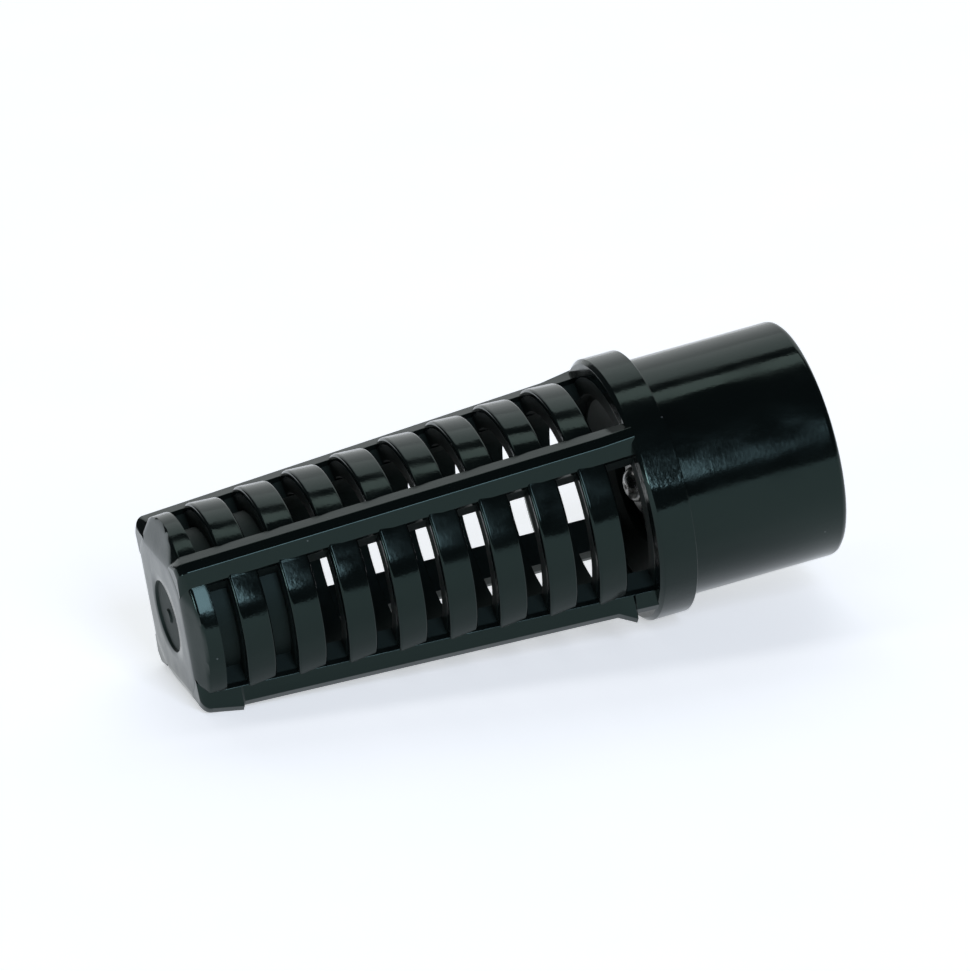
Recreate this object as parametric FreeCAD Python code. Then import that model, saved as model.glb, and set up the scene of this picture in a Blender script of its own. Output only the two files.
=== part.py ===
import FreeCAD, Part
import math
import os

# Foot valve: a tapered strainer cage on a plain 25 mm pipe end, with a spring-closed check valve inside.
# Millimetres. The axis is X. The closed nose of the strainer points to -X and the pipe socket opens to +X.
# The origin is the centre of the collar's shoulder face, where a coupling pushed over the pipe end stops.
# Z is up as the valve lies on two of its four ribs.

# ---- driving dimensions -------------------------------------------------------------------------------

# pipe end
PIPE_END_R = 12.5
PIPE_END_LENGTH = 17.1
RIM_ROUND = 0.7
SOCKET_R = 10.1
SOCKET_DEPTH = 8.8
SOCKET_LEAD_IN = 0.5
SEAL_GROOVE_R = 11.2
SEAL_GROOVE_WIDTH = 1.9
SEAL_GROOVE_FROM_MOUTH = 3.0

# collar and the joint between strainer and body
COLLAR_R = 13.9
COLLAR_LENGTH = 4.0
COLLAR_FRONT_CHAMFER = 0.45
COLLAR_BACK_CHAMFER = 0.12
SPIGOT_R = 11.6
SPIGOT_LENGTH = 3.0
SPIGOT_PLAY = 0.02
BEAD_HEIGHT = 0.25
BEAD_HALF_WIDTH = 0.4
BEAD_X = -1.7

# strainer cage, with lengths measured from the nose face
CAGE_LENGTH = 48.3
CAGE_R_AT_NOSE = 10.1
CAGE_TAPER = 0.052
CAGE_WALL = 2.4
SLOT_OVERCUT = 0.1
SLOT_REACH_R = 16.0
NOSE_HALF_SIDE = 7.0
NOSE_CORNER_R = 8.6
NOSE_SLOPE_LENGTH = 1.35
NOSE_SLOPE_OVERRUN = 0.4
NOSE_CORNER_LENGTH = 1.0
NOSE_WALL = 10.6
NOSE_FLOOR_R = 4.8
CAVITY_ROUND_LENGTH = 2.4
NOSE_RECESS_R = 3.8
NOSE_RECESS_DEPTH = 0.3
GATE_MARK_R = 0.8
GATE_MARK_HEIGHT = 0.2
FIRST_SLOT = 2.84
SLOT_WIDTH = 2.17
RING_WIDTH = 3.14
RING_COUNT = 8

# ribs
RIB_ANGLES = (45.0, 135.0, 225.0, 315.0)
LOWER_RIBS = (225.0, 315.0)
UPPER_RIBS = (45.0, 135.0)
RIB_HEIGHT = 1.0
RIB_CREST_HALF = 0.55
RIB_BASE_HALF = 1.8
RIB_BEVEL_SLOPE = 0.92
RIB_ROOT_HALF = 2.6
RIB_NOSE_ROUND = 1.5
FOOT_LENGTH = 4.2
FOOT_HEIGHT = 0.5
TOOTH_START = 44.15
TOOTH_PEAK = 45.85
TOOTH_HEIGHT = 1.0
RISE_START = 45.3
RISE_HEIGHT = 0.35
WEDGE_DROP = 0.25
WEDGE_END = 0.25

# check valve, with lengths measured from the shoulder face
WEB_FRONT = -1.5
WEB_BACK = -1.0
THROAT_R = 9.5
ORIFICE_R = 6.2
SEAT_LIP_R = 6.9
SEAT_LIP_HEIGHT = 0.5
SEAT_GAP = 0.05
CHAMBER_R = 9.1
SEAL_R = 7.4
SEAL_THICKNESS = 1.0
BOSS_R = 2.0
BOSS_PLAY = 0.02
HEAD_R = 7.6
HEAD_THICKNESS = 1.4
HEAD_CHAMFER = 0.3
LOCATOR_R = 2.4
LOCATOR_HEIGHT = 0.6
STEM_R = 1.5
STEM_END = 6.0
STEM_CHAMFER = 0.3
WASHER_R = 3.0
WASHER_THICKNESS = 0.9
SCREW_HEAD_R = 1.9
SCREW_HEAD_HEIGHT = 1.1
SCREW_TOP_R = 0.3
SCREW_DOME_SHARE = 0.25
SCREW_R = 0.8
SCREW_LENGTH = 3.3
SCREW_PLAY = 0.02
PILOT_DEPTH = 3.5
WASHER_BORE_R = 0.9
SCREW_SLOT_WIDTH = 0.5
SCREW_SLOT_DEPTH = 0.45

# spring guide and what holds it
GUIDE_FRONT = 6.4
GUIDE_THICKNESS = 1.4
GUIDE_R = 9.48
GUIDE_SEAT_R = 9.5
GUIDE_RING_INNER_R = 7.9
GUIDE_HUB_LENGTH = 3.1
GUIDE_HUB_R = 2.6
GUIDE_FLANGE_R = 3.8
GUIDE_FLANGE_THICKNESS = 1.0
GUIDE_BORE_R = 1.56
GUIDE_ARM_WIDTH = 1.5
GUIDE_ARM_COUNT = 3
RETAINER_THICKNESS = 0.4
RETAINER_GROOVE_R = 9.8
RETAINER_PLAY = 0.03
RETAINER_INNER_R = 8.7
RETAINER_GAP_ANGLE = 34.0

# spring
SPRING_WIRE_R = 0.225
SPRING_LARGE_R = 4.6
SPRING_SMALL_R = 3.15
SPRING_TURNS = 4.0
SPRING_END_GAP = 0.02
SPRING_STEPS_PER_TURN = 12

# pipe seal
PIPE_SEAL_INNER_R = 10.12
PIPE_SEAL_PLAY = 0.03
PIPE_SEAL_ROUND = 0.2

# ---- derived places -----------------------------------------------------------------------------------

COLLAR_FRONT = -COLLAR_LENGTH
NOSE = COLLAR_FRONT - CAGE_LENGTH
MOUTH = PIPE_END_LENGTH
PIPE_STOP = MOUTH - SOCKET_DEPTH
SPIGOT_FRONT = -SPIGOT_LENGTH
SEAT_TOP = WEB_BACK + SEAT_LIP_HEIGHT
SEAL_FRONT = SEAT_TOP + SEAT_GAP
SEAL_BACK = SEAL_FRONT + SEAL_THICKNESS
HEAD_BACK = SEAL_BACK + HEAD_THICKNESS
WASHER_FRONT = SEAL_FRONT - WASHER_THICKNESS
GUIDE_BACK = GUIDE_FRONT + GUIDE_THICKNESS
RETAINER_BACK = GUIDE_BACK + RETAINER_THICKNESS
SLOT_PITCH = SLOT_WIDTH + RING_WIDTH

X_AXIS = FreeCAD.Vector(1, 0, 0)
ORIGIN = FreeCAD.Vector(0, 0, 0)


# ---- helpers ------------------------------------------------------------------------------------------


def at(x, r, angle=90.0, t=0.0):
    """The point x along the axis and r out from it, at an angle from +Y towards +Z, moved t sideways."""
    a = math.radians(angle)
    return FreeCAD.Vector(x, r * math.cos(a) - t * math.sin(a), r * math.sin(a) + t * math.cos(a))


def turned(points):
    """A solid of revolution about the axis from its half-outline, a list of (x, r)."""
    corners = [at(x, r) for x, r in points]
    wire = Part.makePolygon(corners + corners[:1])
    return Part.Face(wire).revolve(ORIGIN, X_AXIS, 360)


def turned_edges(edges):
    """A solid of revolution from a closed chain of edges."""
    return Part.Face(Part.Wire(edges)).revolve(ORIGIN, X_AXIS, 360)


def line(a, b):
    """A straight edge between two (x, r) points."""
    return Part.LineSegment(at(*a), at(*b)).toShape()


def arc(a, middle, b):
    """A round edge through three (x, r) points."""
    return Part.Arc(at(*a), at(*middle), at(*b)).toShape()


def disc(x_start, x_end, r):
    """A plain cylinder on the axis."""
    return Part.makeCylinder(r, x_end - x_start, FreeCAD.Vector(x_start, 0, 0), X_AXIS)


def tube(x_start, x_end, r_in, r_out):
    """A plain tube on the axis."""
    return disc(x_start, x_end, r_out).cut(disc(x_start, x_end, r_in))


def polygon(points):
    """A closed wire through points."""
    return Part.makePolygon(points + points[:1])


def between(start, end):
    """A solid with straight sides between two closed wires."""
    return Part.makeLoft([start, end], True, True)


def quarter(a, b):
    """The middle point of a quarter ellipse that leaves a along the radius and reaches b along the axis."""
    share = 1 - math.sqrt(0.5)
    return (a[0] + (b[0] - a[0]) * share, a[1] + (b[1] - a[1]) * math.sqrt(0.5))


def save(name, shape):
    """Writes one node."""
    shape.exportStep("parts/" + name + ".step")
    print(name, shape.isValid(), len(shape.Solids), round(shape.Volume, 2))


# ---- strainer basket ----------------------------------------------------------------------------------


def cage_r(s):
    """Outer radius of the rings at distance s from the nose face."""
    return CAGE_R_AT_NOSE + CAGE_TAPER * s


def crest_r(s):
    """Radius of the ribs' crests at distance s from the nose face."""
    return cage_r(s) + RIB_HEIGHT


def nose_square(s, half):
    """A square across the axis with its corners under the ribs."""
    return polygon([at(NOSE + s, half * math.sqrt(2), angle) for angle in RIB_ANGLES])


def nose_block():
    """The sloped end: a square face whose four sides lean out to the round cage."""
    slope_r = cage_r(NOSE_SLOPE_LENGTH)
    wide = nose_square(NOSE_SLOPE_LENGTH, slope_r + NOSE_SLOPE_OVERRUN)
    square = between(nose_square(0, NOSE_HALF_SIDE), wide)
    round_limit = turned(
        [
            (NOSE, 0),
            (NOSE, NOSE_CORNER_R),
            (NOSE + NOSE_CORNER_LENGTH, cage_r(NOSE_CORNER_LENGTH)),
            (NOSE + NOSE_SLOPE_LENGTH, slope_r),
            (NOSE + NOSE_SLOPE_LENGTH, 0),
        ]
    )
    return square.common(round_limit)


def cage_cone():
    """The tapered round wall before it is hollowed."""
    return turned(
        [
            (NOSE + NOSE_SLOPE_LENGTH, 0),
            (NOSE + NOSE_SLOPE_LENGTH, cage_r(NOSE_SLOPE_LENGTH)),
            (COLLAR_FRONT, cage_r(CAGE_LENGTH)),
            (COLLAR_FRONT, 0),
        ]
    )


def rib_section(s, angle):
    """A rib's outline across the axis: a narrow flat crest and bevels that run down into the wall."""
    root_r = crest_r(s) - RIB_BEVEL_SLOPE * (RIB_ROOT_HALF - RIB_CREST_HALF)
    outline = [
        (-RIB_ROOT_HALF, root_r),
        (-RIB_CREST_HALF, crest_r(s)),
        (RIB_CREST_HALF, crest_r(s)),
        (RIB_ROOT_HALF, root_r),
    ]
    return polygon([at(NOSE + s, r, angle, t) for t, r in outline])


def rib(angle):
    """One straight rib from the nose to the collar, with its end rounded down at the nose."""
    bar = between(rib_section(0, angle), rib_section(CAGE_LENGTH, angle))
    corner = (NOSE, NOSE_CORNER_R)
    crest = (NOSE + RIB_NOSE_ROUND, crest_r(RIB_NOSE_ROUND))
    end = (COLLAR_FRONT, COLLAR_R)
    limit = turned_edges(
        [
            line((NOSE, 0), corner),
            arc(corner, quarter(corner, crest), crest),
            line(crest, end),
            line(end, (COLLAR_FRONT, 0)),
            line((COLLAR_FRONT, 0), (NOSE, 0)),
        ]
    )
    return bar.common(limit)


def wedge(angle, start, peak, end, height):
    """A low ramp on a rib's crest that rises from start to peak and drops away at end."""
    outline = [
        at(NOSE + start, crest_r(start) - WEDGE_DROP, angle, -RIB_CREST_HALF),
        at(NOSE + start, crest_r(start), angle, -RIB_CREST_HALF),
        at(NOSE + peak, crest_r(peak) + height, angle, -RIB_CREST_HALF),
        at(NOSE + end, crest_r(end), angle, -RIB_CREST_HALF),
        at(NOSE + end, crest_r(end) - WEDGE_DROP, angle, -RIB_CREST_HALF),
    ]
    across = at(0, 0, angle, 2 * RIB_CREST_HALF)
    return Part.Face(polygon(outline)).extrude(across)


def feet_and_teeth():
    """Nose feet and stop teeth on the two ribs that the valve lies on, and a small rise on the other two."""
    made = []
    for angle in LOWER_RIBS:
        made.append(wedge(angle, RIB_NOSE_ROUND, FOOT_LENGTH, FOOT_LENGTH + WEDGE_END, FOOT_HEIGHT))
        made.append(wedge(angle, TOOTH_START, TOOTH_PEAK, TOOTH_PEAK + WEDGE_END, TOOTH_HEIGHT))
    for angle in UPPER_RIBS:
        made.append(wedge(angle, RISE_START, CAGE_LENGTH - WEDGE_END, CAGE_LENGTH, RISE_HEIGHT))
    return made


def collar():
    """The thick band that joins the cage to the body, before it is bored."""
    return turned(
        [
            (COLLAR_FRONT, 0),
            (COLLAR_FRONT, COLLAR_R - COLLAR_FRONT_CHAMFER),
            (COLLAR_FRONT + COLLAR_FRONT_CHAMFER, COLLAR_R),
            (-COLLAR_BACK_CHAMFER, COLLAR_R),
            (0, COLLAR_R - COLLAR_BACK_CHAMFER),
            (0, 0),
        ]
    )


def cage_cavity():
    """The inside of the cage, which ends in a rounded floor behind the solid nose, and the spigot's bore."""
    wall_start = NOSE_WALL + CAVITY_ROUND_LENGTH
    floor = (NOSE + NOSE_WALL, NOSE_FLOOR_R)
    wall = (NOSE + wall_start, cage_r(wall_start) - CAGE_WALL)
    throat_r = cage_r(CAGE_LENGTH) - CAGE_WALL
    throat = (SPIGOT_FRONT, throat_r)
    inside = turned_edges(
        [
            line((NOSE + NOSE_WALL, 0), floor),
            arc(floor, quarter(floor, wall), wall),
            line(wall, (COLLAR_FRONT, throat_r)),
            line((COLLAR_FRONT, throat_r), throat),
            line(throat, (SPIGOT_FRONT, 0)),
            line((SPIGOT_FRONT, 0), (NOSE + NOSE_WALL, 0)),
        ]
    )
    bore_r = SPIGOT_R + SPIGOT_PLAY
    groove = (BEAD_X, bore_r + BEAD_HEIGHT)
    spigot_bore = turned(
        [
            (SPIGOT_FRONT, 0),
            (SPIGOT_FRONT, bore_r),
            (BEAD_X - BEAD_HALF_WIDTH - SPIGOT_PLAY, bore_r),
            groove,
            (BEAD_X + BEAD_HALF_WIDTH + SPIGOT_PLAY, bore_r),
            (0, bore_r),
            (0, 0),
        ]
    )
    return inside, spigot_bore


def slot_ring(start, width):
    """Everything that one ring of slots removes: the wall all round except under the ribs."""
    end = start + width
    depth = CAGE_WALL + SLOT_OVERCUT
    ring = turned(
        [
            (NOSE + start, cage_r(start) - depth),
            (NOSE + start, SLOT_REACH_R),
            (NOSE + end, SLOT_REACH_R),
            (NOSE + end, cage_r(end) - depth),
        ]
    )
    across = 4 * COLLAR_R
    bar = Part.makeBox(2 * width, across, 2 * RIB_BASE_HALF)
    bar.translate(FreeCAD.Vector(NOSE + start - width / 2, -across / 2, -RIB_BASE_HALF))
    for angle in UPPER_RIBS:
        crossbar = bar.copy()
        crossbar.rotate(ORIGIN, X_AXIS, angle)
        ring = ring.cut(crossbar)
    return ring


def slots():
    """The slots between the nose and the first ring, between the rings, and up to the collar."""
    made = [slot_ring(FIRST_SLOT + k * SLOT_PITCH, SLOT_WIDTH) for k in range(RING_COUNT)]
    last_start = FIRST_SLOT + RING_COUNT * SLOT_PITCH
    made.append(slot_ring(last_start, CAGE_LENGTH - last_start))
    return made


def nose_mark():
    """The shallow round recess in the nose face, which leaves the moulding's gate mark standing."""
    recess = disc(NOSE, NOSE + NOSE_RECESS_DEPTH, NOSE_RECESS_R)
    gate = disc(NOSE + NOSE_RECESS_DEPTH - GATE_MARK_HEIGHT, NOSE + NOSE_RECESS_DEPTH, GATE_MARK_R)
    return recess.cut(gate)


def strainer_basket():
    """One moulding: nose, ribs, rings and collar."""
    solid = nose_block().fuse([cage_cone(), collar()] + [rib(a) for a in RIB_ANGLES] + feet_and_teeth())
    inside, spigot_bore = cage_cavity()
    return solid.cut([inside, spigot_bore, nose_mark()] + slots()).removeSplitter()


# ---- valve body ---------------------------------------------------------------------------------------


def valve_body():
    """The pipe end: spigot into the collar, seat web, valve chamber and pipe socket in one moulding."""
    rim_start = (MOUTH - RIM_ROUND, PIPE_END_R)
    rim_end = (MOUTH, PIPE_END_R - RIM_ROUND)
    rim_share = RIM_ROUND * (1 - math.sqrt(0.5))
    rim_middle = (MOUTH - rim_share, PIPE_END_R - rim_share)
    groove_end = MOUTH - SEAL_GROOVE_FROM_MOUTH
    groove_start = groove_end - SEAL_GROOVE_WIDTH
    outline = [
        rim_end,
        (MOUTH, SOCKET_R + SOCKET_LEAD_IN),
        (MOUTH - SOCKET_LEAD_IN, SOCKET_R),
        (groove_end, SOCKET_R),
        (groove_end, SEAL_GROOVE_R),
        (groove_start, SEAL_GROOVE_R),
        (groove_start, SOCKET_R),
        (PIPE_STOP, SOCKET_R),
        (PIPE_STOP, GUIDE_SEAT_R),
        (RETAINER_BACK, GUIDE_SEAT_R),
        (RETAINER_BACK, RETAINER_GROOVE_R),
        (GUIDE_BACK, RETAINER_GROOVE_R),
        (GUIDE_BACK, GUIDE_SEAT_R),
        (GUIDE_FRONT, GUIDE_SEAT_R),
        (GUIDE_FRONT, CHAMBER_R),
        (WEB_BACK, CHAMBER_R),
        (WEB_BACK, SEAT_LIP_R + SEAT_LIP_HEIGHT),
        (SEAT_TOP, SEAT_LIP_R),
        (SEAT_TOP, ORIFICE_R),
        (WEB_FRONT, ORIFICE_R),
        (SPIGOT_FRONT, THROAT_R),
        (SPIGOT_FRONT, SPIGOT_R),
        (BEAD_X - BEAD_HALF_WIDTH, SPIGOT_R),
        (BEAD_X, SPIGOT_R + BEAD_HEIGHT),
        (BEAD_X + BEAD_HALF_WIDTH, SPIGOT_R),
        (0, SPIGOT_R),
        (0, PIPE_END_R),
        rim_start,
    ]
    edges = [line(a, b) for a, b in zip(outline, outline[1:])]
    edges.append(arc(rim_start, rim_middle, rim_end))
    return turned_edges(edges)


def pipe_seal():
    """The square-section rubber ring in the socket's groove, drawn as a pipe squeezes it."""
    end = MOUTH - SEAL_GROOVE_FROM_MOUTH - PIPE_SEAL_PLAY
    start = MOUTH - SEAL_GROOVE_FROM_MOUTH - SEAL_GROOVE_WIDTH + PIPE_SEAL_PLAY
    ring = tube(start, end, PIPE_SEAL_INNER_R, SEAL_GROOVE_R - PIPE_SEAL_PLAY)
    return ring.makeFillet(PIPE_SEAL_ROUND, [e for e in ring.Edges if len(e.Vertexes) == 1])


# ---- check valve --------------------------------------------------------------------------------------


def poppet():
    """The sliding valve: head, front boss for the seal, spring locator and guide stem."""
    solid = turned(
        [
            (SEAL_FRONT, 0),
            (SEAL_FRONT, BOSS_R),
            (SEAL_BACK, BOSS_R),
            (SEAL_BACK, HEAD_R - HEAD_CHAMFER),
            (SEAL_BACK + HEAD_CHAMFER, HEAD_R),
            (HEAD_BACK - HEAD_CHAMFER, HEAD_R),
            (HEAD_BACK, HEAD_R - HEAD_CHAMFER),
            (HEAD_BACK, LOCATOR_R),
            (HEAD_BACK + LOCATOR_HEIGHT, LOCATOR_R),
            (HEAD_BACK + LOCATOR_HEIGHT, STEM_R),
            (STEM_END - STEM_CHAMFER, STEM_R),
            (STEM_END, STEM_R - STEM_CHAMFER),
            (STEM_END, 0),
        ]
    )
    pilot = disc(SEAL_FRONT, SEAL_FRONT + PILOT_DEPTH, SCREW_R + SCREW_PLAY)
    return solid.cut(pilot)


def poppet_seal():
    """The flat rubber washer that closes on the seat lip."""
    return tube(SEAL_FRONT, SEAL_BACK, BOSS_R + BOSS_PLAY, SEAL_R)


def seal_washer():
    """The small thick metal washer that clamps the rubber against the head."""
    return tube(WASHER_FRONT, SEAL_FRONT, WASHER_BORE_R, WASHER_R)


def seal_screw():
    """The small slotted pan-head screw through washer and seal into the poppet."""
    head_front = WASHER_FRONT - SCREW_HEAD_HEIGHT
    side = (WASHER_FRONT, SCREW_HEAD_R)
    top = (head_front, SCREW_TOP_R)
    shoulder = (head_front + SCREW_HEAD_HEIGHT * SCREW_DOME_SHARE, SCREW_HEAD_R * (1 - SCREW_DOME_SHARE))
    tip = SEAL_FRONT + SCREW_LENGTH
    solid = turned_edges(
        [
            arc(top, shoulder, side),
            line(side, (WASHER_FRONT, SCREW_R)),
            line((WASHER_FRONT, SCREW_R), (tip - SCREW_R / 2, SCREW_R)),
            line((tip - SCREW_R / 2, SCREW_R), (tip, SCREW_R / 2)),
            line((tip, SCREW_R / 2), (tip, 0)),
            line((tip, 0), (head_front, 0)),
            line((head_front, 0), top),
        ]
    )
    slot = Part.makeBox(SCREW_SLOT_DEPTH, 4 * SCREW_HEAD_R, SCREW_SLOT_WIDTH)
    slot.translate(FreeCAD.Vector(head_front, -2 * SCREW_HEAD_R, -SCREW_SLOT_WIDTH / 2))
    return solid.cut(slot)


def valve_spring():
    """The conical closing spring between the poppet's head and the guide's flange."""
    start = HEAD_BACK + SPRING_WIRE_R + SPRING_END_GAP
    end = GUIDE_FRONT - SPRING_WIRE_R - SPRING_END_GAP
    steps = round(SPRING_TURNS * SPRING_STEPS_PER_TURN)
    points = []
    for k in range(steps + 1):
        share = k / steps
        r = SPRING_LARGE_R + (SPRING_SMALL_R - SPRING_LARGE_R) * share
        points.append(at(start + (end - start) * share, r, 360 * SPRING_TURNS * share))
    path = Part.BSplineCurve()
    path.interpolate(points)
    first_way = path.tangent(path.FirstParameter)[0]
    section = Part.Wire([Part.Circle(points[0], first_way, SPRING_WIRE_R).toShape()])
    return Part.Wire([path.toShape()]).makePipeShell([section], True, False)


# ---- spring guide and retaining ring ------------------------------------------------------------------


def spring_guide():
    """The spider: outer ring, three arms and a long hub that guides the poppet's stem."""
    ring = tube(GUIDE_FRONT, GUIDE_BACK, GUIDE_RING_INNER_R, GUIDE_R)
    hub = disc(GUIDE_BACK - GUIDE_HUB_LENGTH, GUIDE_BACK, GUIDE_HUB_R)
    flange = disc(GUIDE_FRONT, GUIDE_FRONT + GUIDE_FLANGE_THICKNESS, GUIDE_FLANGE_R)
    arms = []
    reach = (GUIDE_RING_INNER_R + GUIDE_R) / 2
    for k in range(GUIDE_ARM_COUNT):
        arm = Part.makeBox(GUIDE_THICKNESS, reach, GUIDE_ARM_WIDTH)
        arm.translate(FreeCAD.Vector(GUIDE_FRONT, 0, -GUIDE_ARM_WIDTH / 2))
        arm.rotate(ORIGIN, X_AXIS, 90 + k * 360 / GUIDE_ARM_COUNT)
        arms.append(arm)
    solid = ring.fuse([hub, flange] + arms)
    bore = disc(GUIDE_BACK - GUIDE_HUB_LENGTH, GUIDE_BACK, GUIDE_BORE_R)
    return solid.cut(bore).removeSplitter()


def retaining_ring():
    """The flat open spring ring that snaps in behind the guide, with its gap at the bottom."""
    ring = tube(GUIDE_BACK, RETAINER_BACK, RETAINER_INNER_R, RETAINER_GROOVE_R - RETAINER_PLAY)
    half = math.radians(RETAINER_GAP_ANGLE / 2)
    reach = 2 * RETAINER_GROOVE_R
    side = reach * math.tan(half)
    corners = [
        FreeCAD.Vector(GUIDE_BACK, 0, 0),
        FreeCAD.Vector(GUIDE_BACK, -side, -reach),
        FreeCAD.Vector(GUIDE_BACK, side, -reach),
    ]
    gap = Part.Face(polygon(corners)).extrude(FreeCAD.Vector(RETAINER_THICKNESS, 0, 0))
    return ring.cut(gap)


# ---- all nodes ----------------------------------------------------------------------------------------


def main():
    os.makedirs("parts", exist_ok=True)
    nodes = {
        "strainer_basket": strainer_basket,
        "valve_body": valve_body,
        "pipe_seal": pipe_seal,
        "poppet": poppet,
        "poppet_seal": poppet_seal,
        "seal_washer": seal_washer,
        "seal_screw": seal_screw,
        "valve_spring": valve_spring,
        "spring_guide": spring_guide,
        "retaining_ring": retaining_ring,
    }
    for name, make in nodes.items():
        save(name, make())


main()
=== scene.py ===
import math

import bmesh
import bpy
from mathutils import Matrix, Vector


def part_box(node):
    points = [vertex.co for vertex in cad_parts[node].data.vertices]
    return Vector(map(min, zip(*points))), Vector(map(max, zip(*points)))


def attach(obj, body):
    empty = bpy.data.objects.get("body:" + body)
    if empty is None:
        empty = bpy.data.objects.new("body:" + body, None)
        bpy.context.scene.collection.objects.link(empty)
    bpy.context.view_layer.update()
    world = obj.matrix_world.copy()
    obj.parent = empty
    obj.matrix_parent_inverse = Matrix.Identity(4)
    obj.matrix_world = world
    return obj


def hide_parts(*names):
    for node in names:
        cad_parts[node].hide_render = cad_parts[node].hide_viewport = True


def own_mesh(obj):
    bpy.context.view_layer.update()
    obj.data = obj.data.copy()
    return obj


# The looks of a small moulded foot valve: a glossy black strainer cage on a plain pipe end, with a
# spring-closed check valve inside. Sizes are in millimetres until a mesh is made, and MM turns them
# into metres.

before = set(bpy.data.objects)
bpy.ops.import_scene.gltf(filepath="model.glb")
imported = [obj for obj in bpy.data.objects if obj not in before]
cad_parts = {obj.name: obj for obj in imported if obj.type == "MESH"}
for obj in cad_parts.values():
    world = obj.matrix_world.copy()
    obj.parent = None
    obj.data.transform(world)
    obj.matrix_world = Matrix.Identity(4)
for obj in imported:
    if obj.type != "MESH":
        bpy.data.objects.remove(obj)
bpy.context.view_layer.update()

MM = 0.001

# ---- sizes ----------------------------------------------------------------------------------------------

basket_low, basket_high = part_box("strainer_basket")
body_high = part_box("valve_body")[1]
spring_low, spring_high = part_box("valve_spring")

NOSE = basket_low.x / MM
MOUTH = body_high.x / MM
COLLAR_R = basket_high.z / MM
PIPE_END_R = body_high.z / MM
COLLAR_LENGTH = 4.0
COLLAR_FRONT = -COLLAR_LENGTH
CAGE_LENGTH = COLLAR_FRONT - NOSE

CAGE_R_AT_NOSE = 10.1
CAGE_TAPER = 0.052
CAGE_WALL = 2.4
FIRST_SLOT = 2.84
SLOT_WIDTH = 2.17
RING_WIDTH = 3.14
RING_COUNT = 8
RING_ROUND = 0.32

NOSE_HALF_SIDE = 7.0
NOSE_SIDE_SPREAD = 2.65
NOSE_CORNER_R = 8.6
NOSE_CORNER_SPREAD = 1.55
NOSE_EDGE_ROUND = 0.3
NOSE_SOFTNESS = 0.07
NOSE_FLOOR = 10.6
NOSE_FLOOR_R = 4.8
NOSE_RECESS_R = 3.8
NOSE_RECESS_DEPTH = 0.3
GATE_MARK_R = 0.8
GATE_MARK_HEIGHT = 0.2
GATE_MARK_SLOPE = 0.12
RECESS_SLOPE = 0.15
RECESS_LIP = 0.05
RECESS_EDGE = 0.12
SLOT_EDGE_CUT = 0.04
CORE_FILLET = 0.1
CORE_FILLET_RUN = 0.08
POLE_R = 0.1
FACE_STEPS = 4
CAVITY_ROUND = 2.05
CORE_OVERLAP = 0.05

RIB_HEIGHT = 1.0
RIB_CREST_HALF = 0.55
RIB_BASE_HALF = 1.8
RIB_NOSE_R = 9.6
RIB_NOSE_ROUND = 1.1
RIB_SET_BACK = 0.03
UPPER_RIB_ANGLE = 45
LOWER_RIB_ANGLE = 225
RIB_STEP_ANGLE = 90
FOOT_LENGTH = 4.2
FOOT_HEIGHT = 0.5
TOOTH_START = 44.15
TOOTH_PEAK = 45.85
TOOTH_HEIGHT = 1.0
RISE_START = 45.3
RISE_HEIGHT = 0.35
STEP_LENGTH = 0.25

COLLAR_BEVEL = 0.4
COLLAR_BEVEL_DEPTH = 0.42
COLLAR_BORE_R = 11.62
CAGE_CORNER_ROUND = 0.1
COLLAR_ROUND = 0.12
BORE_ROUND = 0.08

SPIGOT_R = 11.6
SPIGOT_FRONT = -3.0
SPIGOT_BORE_R = 9.5
SNAP_BEAD_R = 11.85
SNAP_BEAD_X = (-2.1, -1.7, -1.3)
WEB_FRONT = -1.5
WEB_BACK = -1.0
ORIFICE_R = 6.2
SEAT_LIP_R = 6.9
SEAT_LIP_HEIGHT = 0.5
CHAMBER_R = 9.1
GUIDE_SHOULDER = 6.4
GUIDE_R = 9.5
RETAINER_GROOVE_R = 9.8
RETAINER_GROOVE_X = (7.8, 8.2)
PIPE_STOP = 8.3
SOCKET_R = 10.1
SEAL_GROOVE_R = 11.2
SEAL_GROOVE_DEPTHS = (3.0, 4.9)
MOUTH_ROUND = 0.7
MOUTH_CHAMFER = 0.5

WIRE_R = 0.225
COIL_TURNS = 4.0
COIL_START_R = 4.6
COIL_END_R = 3.15

AROUND = 192
FILLET_STEPS = 3
FILLET_SHARE = 0.49
COIL_STEPS = 48
WIRE_STEPS = 14
EDGE_STEPS = 5
NOSE_WALL_STEPS = 14
CORE_STEPS = 8
CAVITY_STEPS = 10
RIB_START_STEPS = 10
RIB_SPREAD = 3.0


def cage_r(s):
    """Outer radius of the rings, s millimetres behind the nose face."""
    return CAGE_R_AT_NOSE + CAGE_TAPER * s


def crest_r(s):
    """Radius of the ribs' crests, s millimetres behind the nose face."""
    return cage_r(s) + RIB_HEIGHT


# ---- mesh helpers ---------------------------------------------------------------------------------------


def solid(name, verts, faces):
    """A mesh object from millimetre points, with its faces turned outwards."""
    shell = bmesh.new()
    made = [shell.verts.new(Vector(v) * MM) for v in verts]
    for face in faces:
        shell.faces.new([made[i] for i in face])
    bmesh.ops.recalc_face_normals(shell, faces=shell.faces)
    mesh = bpy.data.meshes.new(name)
    shell.to_mesh(mesh)
    shell.free()
    piece = bpy.data.objects.new(name, mesh)
    bpy.context.scene.collection.objects.link(piece)
    return piece


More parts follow.
